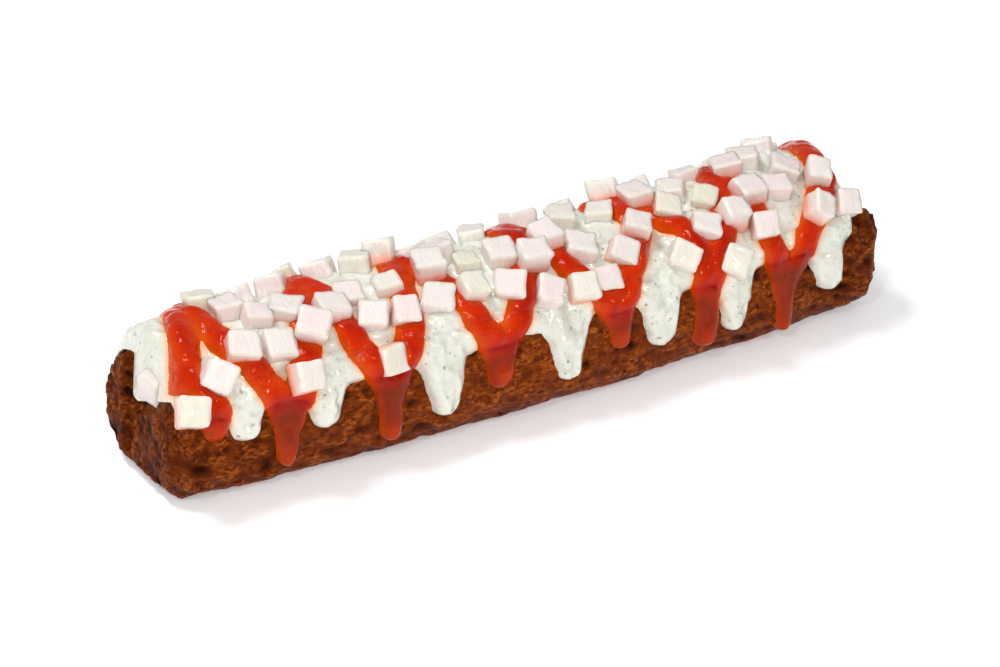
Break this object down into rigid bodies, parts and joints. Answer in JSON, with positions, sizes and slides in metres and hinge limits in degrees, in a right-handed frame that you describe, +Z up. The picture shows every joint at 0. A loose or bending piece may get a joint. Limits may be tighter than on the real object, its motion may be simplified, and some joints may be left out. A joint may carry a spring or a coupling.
{
  "type": "frikandel",
  "caption": "Deep-fried skinless sausage split lengthwise and filled with herb mayonnaise, a zigzag of ketchup and diced raw onion.",
  "frame": {"origin": "middle of the underside of the whole, on the surface that the sausage lies on", "axes": "+X along the sausage towards its right end as seen from the near side, +Y away from the near side, +Z up"},
  "size_m": [0.19, 0.0488, 0.0427],
  "materials": {
    "browned_meat": "mottled brown fried skin with an oily sheen",
    "herb_mayonnaise": "glossy off-white sauce with fine green herb specks",
    "ketchup": "wet glossy red",
    "onion": "translucent white raw onion"
  },
  "bodies": {
    "root": {"frikandel": "browned_meat", "herb_mayonnaise": "herb_mayonnaise", "ketchup": "ketchup"}
  },
  "joints": []
}
